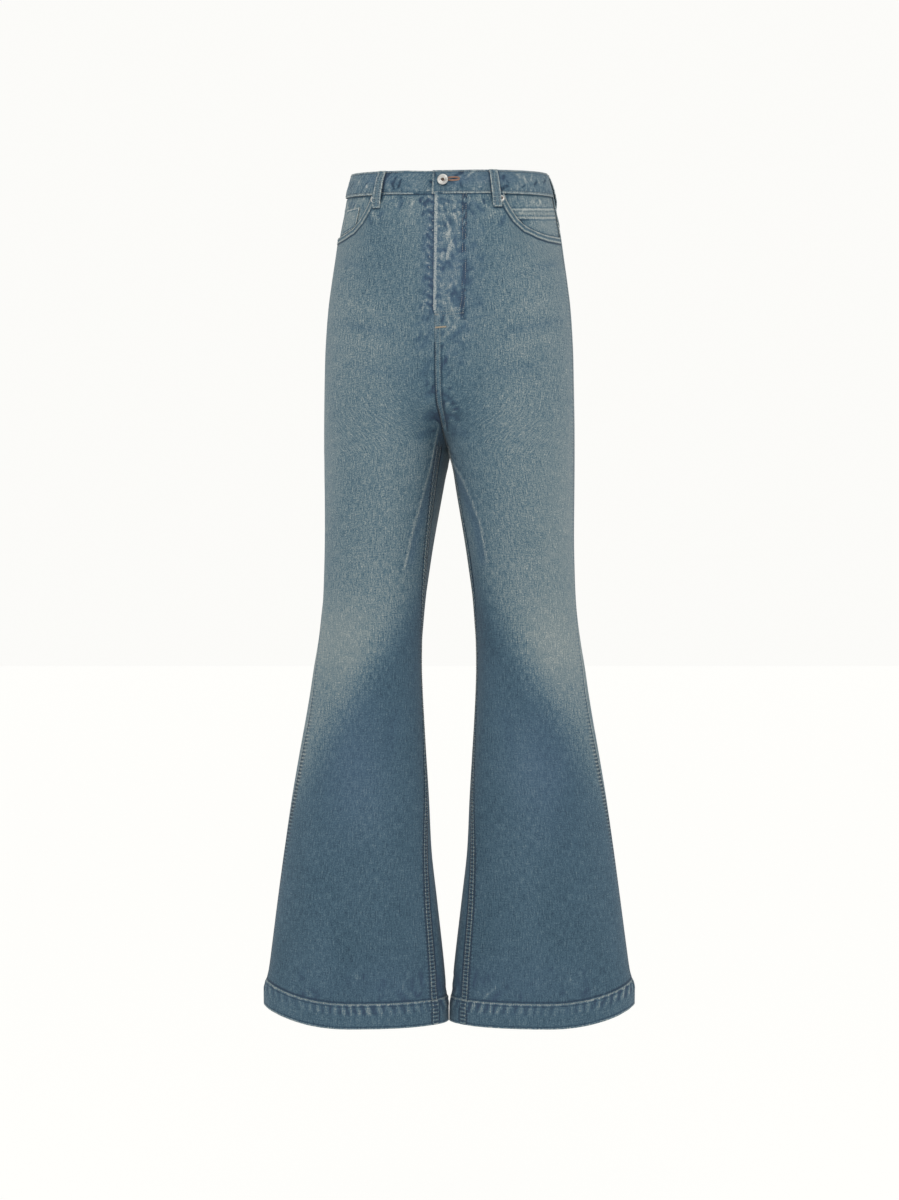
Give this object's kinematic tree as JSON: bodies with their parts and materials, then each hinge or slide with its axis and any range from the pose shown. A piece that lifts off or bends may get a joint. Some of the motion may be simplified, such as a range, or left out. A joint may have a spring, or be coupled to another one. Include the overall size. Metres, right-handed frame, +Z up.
{
  "type": "bootcut jeans",
  "caption": "Bootcut five-pocket denim jeans in their hollow worn form: slim thigh and knee, wide flared hem, buttoned waistband with belt loops, open at the waist and hems",
  "frame": {"origin": "the middle of the waist, halfway up the waistband, where the wearer holds the jeans up", "axes": "+Z up along the legs, the front faces -Y, +X is the wearer's left"},
  "size_m": [0.5558, 0.2933, 1.283],
  "materials": {
    "denim": "worn stonewashed indigo denim, matt, with pale fades at the knees",
    "denim_band": "the same denim, doubled for the waistband and belt loops",
    "denim_pocket": "the same denim, used for the pockets and the fly shield",
    "button_metal": "tumbled nickel-coloured steel with a dull sheen",
    "rivet_metal": "nickel-coloured rivet metal"
  },
  "bodies": {
    "root": {"back_left": "denim", "back_pocket_left": "denim_pocket", "back_pocket_right": "denim_pocket", "back_right": "denim", "belt_loop_back": "denim_band", "belt_loop_front_left": "denim_band", "belt_loop_front_right": "denim_band", "belt_loop_side_left": "denim_band", "belt_loop_side_right": "denim_band", "coin_pocket": "denim_pocket", "fly_button_1": "button_metal", "fly_button_2": "button_metal", "fly_button_3": "button_metal", "fly_button_4": "button_metal", "fly_shield": "denim_pocket", "front_left": "denim", "front_right": "denim", "pocket_facing_left": "denim_pocket", "pocket_facing_right": "denim_pocket", "rivet_left": "rivet_metal", "rivet_right": "rivet_metal", "waist_button": "button_metal", "waistband": "denim_band", "yoke_left": "denim", "yoke_right": "denim"}
  },
  "joints": []
}
